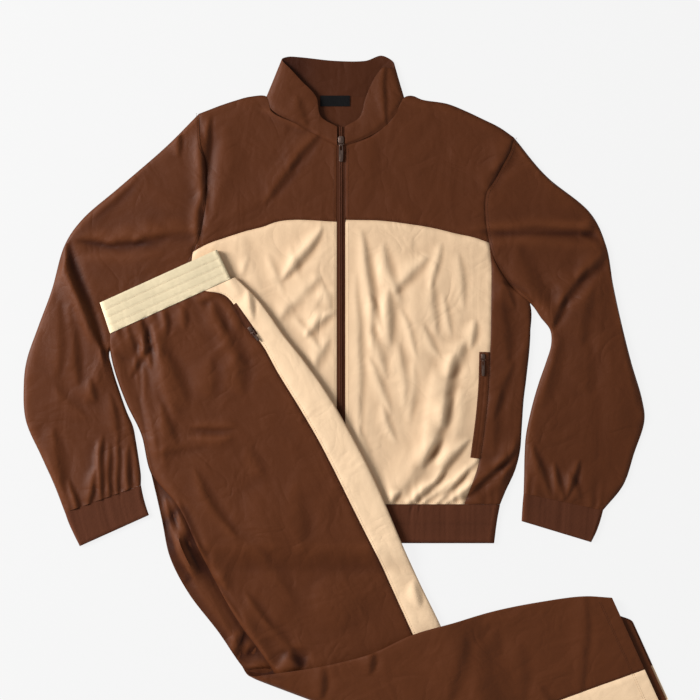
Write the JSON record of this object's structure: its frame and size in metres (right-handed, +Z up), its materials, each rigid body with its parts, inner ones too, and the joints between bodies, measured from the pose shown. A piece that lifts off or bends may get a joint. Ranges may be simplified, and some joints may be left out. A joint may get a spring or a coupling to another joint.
{
  "type": "tracksuit",
  "caption": "Two-colour nylon tracksuit laid flat: zipped stand-collar jacket with the trousers folded in half and at the knee across its lower left side.",
  "frame": {"origin": "centre of the set's footprint, on the surface it lies on", "axes": "+Z up from the surface, +Y towards the jacket's collar, +X towards the wearer's left sleeve, which is on the right when seen from above"},
  "size_m": [0.9656, 1.074, 0.0205],
  "materials": {
    "brown_nylon": "slight sheen",
    "cream_nylon": "slight sheen",
    "dark_rib": "matte",
    "cream_band": "matte",
    "label": "satin",
    "zip_tape": "matte",
    "zip_teeth": "satin",
    "zip_metal": "satin"
  },
  "bodies": {
    "root": {"jacket_back": "brown_nylon", "yoke_right": "brown_nylon", "yoke_left": "brown_nylon", "side_right": "brown_nylon", "side_left": "brown_nylon", "sleeve_right": "brown_nylon", "sleeve_left": "brown_nylon", "collar": "brown_nylon", "pocket_welt_right": "brown_nylon", "pocket_welt_left": "brown_nylon", "left_leg_front": "brown_nylon", "inner_leg_layers": "brown_nylon", "right_leg_front": "brown_nylon", "front_right": "cream_nylon", "front_left": "cream_nylon", "left_leg_side": "cream_nylon", "right_leg_side": "cream_nylon", "cuff_right": "dark_rib", "cuff_left": "dark_rib", "hem_band": "dark_rib", "neck_label": "label", "zip_tapes": "zip_tape", "zip_chain": "zip_teeth", "waistband": "cream_band", "zip_slider": "zip_metal", "pocket_slider": "zip_metal", "trouser_zip": "zip_tape", "trouser_slider": "zip_metal"},
    "zip_tab": {"zip_pull": "zip_metal"},
    "pocket_tab": {"pocket_pull": "zip_metal"},
    "trouser_tab": {"trouser_pull": "zip_metal"}
  },
  "joints": [
    {"name": "zip_tab_hinge", "type": "hinge", "parent": "root", "child": "zip_tab", "pos_m": [-0.0073, 0.40347, 0.009], "axis": [-1, 0, 0], "range_deg": [0, 150]},
    {"name": "pocket_tab_hinge", "type": "hinge", "parent": "root", "child": "pocket_tab", "pos_m": [0.2052, 0.08097, 0.0089], "axis": [-1, 0, 0], "range_deg": [0, 150]},
    {"name": "trouser_tab_hinge", "type": "hinge", "parent": "root", "child": "trouser_tab", "pos_m": [-0.1391, 0.12247, 0.0198], "axis": [-0.8, -0.6, 0], "range_deg": [0, 150]}
  ]
}
